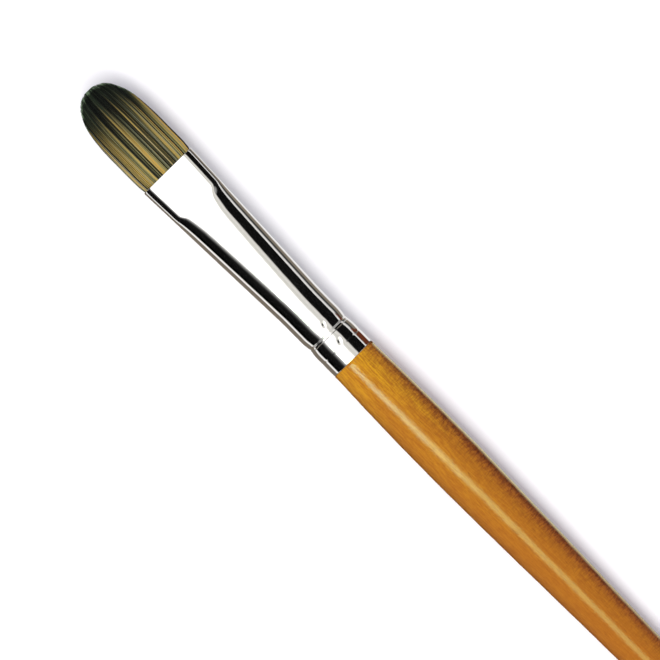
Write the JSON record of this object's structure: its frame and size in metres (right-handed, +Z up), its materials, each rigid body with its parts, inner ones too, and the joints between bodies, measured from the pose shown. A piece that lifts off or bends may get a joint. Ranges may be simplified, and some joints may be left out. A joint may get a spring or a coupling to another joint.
{
  "type": "filbert paint brush",
  "caption": "Long-handled artist's filbert brush: flat round-ended tuft in a pressed crimped metal ferrule on a turned, lacquered wooden handle.",
  "frame": {"origin": "on the surface the brush lies on, below the middle of its length and width", "axes": "+X from the tuft towards the handle's tail, +Y across the width of the tuft, +Z up out of the tuft's flat face; the brush's own axis dips 0.94 degrees towards the tail, because it rests on its belly and its tail"},
  "size_m": [0.31, 0.0131, 0.0116],
  "materials": {
    "handle_wood": "golden amber stain under clear gloss lacquer",
    "ferrule_metal": "bright nickel plate, mirror polished",
    "filament": "striped gold, olive and dark filaments with dark green tips",
    "adhesive": "cured amber epoxy",
    "thread": "twisted cotton thread"
  },
  "bodies": {
    "brush": {"handle": "handle_wood", "ferrule": "ferrule_metal", "tenon_adhesive": "adhesive", "filament_roots": "filament", "filament_epoxy": "adhesive", "binding_thread": "thread"},
    "tuft": {"tuft_upper_face": "filament", "tuft_core": "filament", "tuft_lower_face": "filament"}
  },
  "joints": [
    {"name": "tuft_flex", "type": "hinge", "parent": "brush", "child": "tuft", "pos_m": [-0.1335, 0, 0.00713], "axis": [0, 1, 0], "range_deg": [-22, 22], "stiffness_Nm_per_rad": 0.015}
  ]
}
